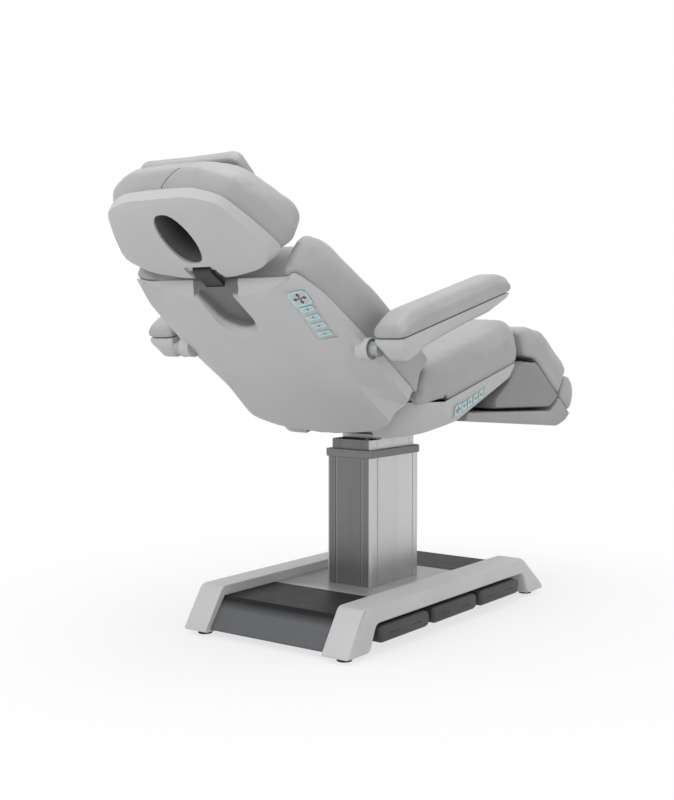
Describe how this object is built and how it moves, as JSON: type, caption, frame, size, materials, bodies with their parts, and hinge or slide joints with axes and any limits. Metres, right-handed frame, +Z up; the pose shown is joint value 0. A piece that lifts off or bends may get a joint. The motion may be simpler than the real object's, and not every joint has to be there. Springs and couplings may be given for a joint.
{
  "type": "beauty treatment table",
  "caption": "Padded treatment table on a lifting column, with tilting seat, reclining back, swinging leg rest, sliding foot end, head rest with a face opening and hinged armrests.",
  "frame": {"origin": "centre of the base's footprint, on the floor", "axes": "+Z up, +X towards the foot end, +Y towards the sitter's left"},
  "size_m": [1.6912, 0.868, 1.2615],
  "materials": {
    "shell": "satin",
    "upholstery": "matte",
    "dark_plastic": "satin",
    "rubber": "matte",
    "collar_plastic": "satin",
    "brushed_aluminium": "satin",
    "glossy_plastic": "gloss",
    "steel": "satin",
    "key_film": "satin"
  },
  "bodies": {
    "base": {"base_frame": "steel", "base_rail_left": "shell", "base_rail_right": "shell", "base_centre_plate": "glossy_plastic", "base_rear_cover": "dark_plastic", "base_front_cover": "dark_plastic", "rubber_foot_front_left": "rubber", "rubber_foot_front_right": "rubber", "rubber_foot_rear_left": "rubber", "rubber_foot_rear_right": "rubber", "column_outer": "brushed_aluminium", "column_collar": "collar_plastic", "lift_actuator": "steel", "power_inlet": "dark_plastic"},
    "rear_pedal": {"pedal_rear": "dark_plastic"},
    "middle_pedal": {"pedal_middle": "dark_plastic"},
    "front_pedal": {"pedal_front": "dark_plastic"},
    "lift": {"column_inner": "brushed_aluminium", "column_head": "steel", "tilt_actuator": "dark_plastic"},
    "tilt_rod": {"tilt_rod": "steel"},
    "tilt": {"tilt_cradle": "steel"},
    "seat": {"seat_frame": "steel", "seat_shell": "shell", "seat_cushion": "upholstery", "seat_keypad": "glossy_plastic", "control_box": "dark_plastic", "back_actuator": "dark_plastic", "leg_actuator": "dark_plastic"},
    "back_rod": {"back_rod": "steel"},
    "leg_rod": {"leg_rod": "steel"},
    "back": {"back_frame": "steel", "back_shell": "shell", "back_cushion": "upholstery", "back_keypad": "glossy_plastic"},
    "leg": {"leg_frame": "steel", "leg_shell": "shell", "leg_cushion": "upholstery"},
    "foot": {"foot_shell": "shell", "foot_cushion": "upholstery"},
    "head_bar": {"headrest_bar": "steel"},
    "head": {"headrest_shell": "shell", "headrest_cushion": "upholstery", "headrest_pillow": "upholstery"},
    "left_arm": {"armrest_pivot_left": "steel", "armrest_shell_left": "shell", "armrest_cushion_left": "upholstery"},
    "right_arm": {"armrest_pivot_right": "steel", "armrest_shell_right": "shell", "armrest_cushion_right": "upholstery"},
    "back_key_pad_cap": {"back_key_pad": "key_film"},
    "back_key_1_cap": {"back_key_1": "key_film"},
    "back_key_2_cap": {"back_key_2": "key_film"},
    "back_key_3_cap": {"back_key_3": "key_film"},
    "back_key_4_cap": {"back_key_4": "key_film"},
    "seat_key_pad_cap": {"seat_key_pad": "key_film"},
    "seat_key_1_cap": {"seat_key_1": "key_film"},
    "seat_key_2_cap": {"seat_key_2": "key_film"},
    "seat_key_3_cap": {"seat_key_3": "key_film"},
    "seat_key_4_cap": {"seat_key_4": "key_film"}
  },
  "joints": [
    {"name": "rear_pedal_press", "type": "hinge", "parent": "base", "child": "rear_pedal", "pos_m": [-0.28, -0.24, 0.052], "axis": [0, 1, 0], "range_deg": [-2, 2], "stiffness_Nm_per_rad": 30},
    {"name": "middle_pedal_press", "type": "hinge", "parent": "base", "child": "middle_pedal", "pos_m": [-0.02, -0.24, 0.052], "axis": [0, 1, 0], "range_deg": [-2, 2], "stiffness_Nm_per_rad": 30},
    {"name": "front_pedal_press", "type": "hinge", "parent": "base", "child": "front_pedal", "pos_m": [0.24, -0.24, 0.052], "axis": [0, 1, 0], "range_deg": [-2, 2], "stiffness_Nm_per_rad": 30},
    {"name": "column_lift", "type": "slide", "parent": "base", "child": "lift", "axis": [0, 0, 1], "range_m": [-0.02, 0.25]},
    {"name": "seat_tilt", "type": "hinge", "parent": "lift", "child": "tilt", "pos_m": [-0.017, 0, 0.595], "axis": [0, 1, 0], "range_deg": [-4, 13.5]},
    {"name": "tilt_rod_push", "type": "slide", "parent": "lift", "child": "tilt_rod", "axis": [0, 0, 1], "range_m": [-0.025, 0.008]},
    {"name": "seat_shift", "type": "slide", "parent": "tilt", "child": "seat", "axis": [0.9724, 0, 0.2334], "range_m": [-0.06, 0]},
    {"name": "back_rod_push", "type": "slide", "parent": "seat", "child": "back_rod", "axis": [-0.9577, 0, -0.2876], "range_m": [-0.04, 0.04]},
    {"name": "leg_rod_push", "type": "slide", "parent": "seat", "child": "leg_rod", "axis": [0.9408, 0, 0.339], "range_m": [-0.002, 0.07]},
    {"name": "back_recline", "type": "hinge", "parent": "seat", "child": "back", "pos_m": [-0.12252, 0, 0.63959], "axis": [0, 1, 0], "range_deg": [-43, 15]},
    {"name": "leg_swing", "type": "hinge", "parent": "seat", "child": "leg", "pos_m": [0.35005, 0, 0.82503], "axis": [0, -1, 0], "range_deg": [0, 45]},
    {"name": "foot_extension", "type": "slide", "parent": "leg", "child": "foot", "axis": [0.809, 0, -0.5878], "range_m": [0, 0.16]},
    {"name": "headrest_slide", "type": "slide", "parent": "back", "child": "head_bar", "axis": [-0.8406, 0, 0.5417], "range_m": [0, 0.1]},
    {"name": "headrest_tilt", "type": "hinge", "parent": "head_bar", "child": "head", "pos_m": [-0.74493, 0, 0.99155], "axis": [0, 1, 0], "range_deg": [-30, 4]},
    {"name": "left_armrest_swing", "type": "hinge", "parent": "back", "child": "left_arm", "pos_m": [-0.48273, 0, 0.79321], "axis": [0, -1, 0], "range_deg": [-20, 95]},
    {"name": "right_armrest_swing", "type": "hinge", "parent": "back", "child": "right_arm", "pos_m": [-0.48273, 0, 0.79321], "axis": [0, -1, 0], "range_deg": [-20, 95]},
    {"name": "back_key_pad_press", "type": "slide", "parent": "back", "child": "back_key_pad_cap", "axis": [0.6277, 0.2486, 0.7377], "range_m": [0, 0.0008], "stiffness_N_per_m": 900},
    {"name": "back_key_1_press", "type": "slide", "parent": "back", "child": "back_key_1_cap", "axis": [0.6277, 0.2486, 0.7377], "range_m": [0, 0.0008], "stiffness_N_per_m": 900},
    {"name": "back_key_2_press", "type": "slide", "parent": "back", "child": "back_key_2_cap", "axis": [0.6277, 0.2486, 0.7377], "range_m": [0, 0.0008], "stiffness_N_per_m": 900},
    {"name": "back_key_3_press", "type": "slide", "parent": "back", "child": "back_key_3_cap", "axis": [0.6277, 0.2486, 0.7377], "range_m": [0, 0.0008], "stiffness_N_per_m": 900},
    {"name": "back_key_4_press", "type": "slide", "parent": "back", "child": "back_key_4_cap", "axis": [0.6277, 0.2486, 0.7377], "range_m": [0, 0.0008], "stiffness_N_per_m": 900},
    {"name": "seat_key_pad_press", "type": "slide", "parent": "seat", "child": "seat_key_pad_cap", "axis": [-0.0686, 0.9706, 0.2306], "range_m": [0, 0.0008], "stiffness_N_per_m": 900},
    {"name": "seat_key_1_press", "type": "slide", "parent": "seat", "child": "seat_key_1_cap", "axis": [-0.0686, 0.9706, 0.2306], "range_m": [0, 0.0008], "stiffness_N_per_m": 900},
    {"name": "seat_key_2_press", "type": "slide", "parent": "seat", "child": "seat_key_2_cap", "axis": [-0.0686, 0.9706, 0.2306], "range_m": [0, 0.0008], "stiffness_N_per_m": 900},
    {"name": "seat_key_3_press", "type": "slide", "parent": "seat", "child": "seat_key_3_cap", "axis": [-0.0686, 0.9706, 0.2306], "range_m": [0, 0.0008], "stiffness_N_per_m": 900},
    {"name": "seat_key_4_press", "type": "slide", "parent": "seat", "child": "seat_key_4_cap", "axis": [-0.0686, 0.9706, 0.2306], "range_m": [0, 0.0008], "stiffness_N_per_m": 900}
  ],
  "couplings": [
    {"joint": "tilt_rod_push", "follows": "seat_tilt", "m_per_rad": -0.0942},
    {"joint": "back_rod_push", "follows": "back_recline", "m_per_rad": 0.04367},
    {"joint": "leg_rod_push", "follows": "leg_swing", "m_per_rad": 0.07447}
  ]
}
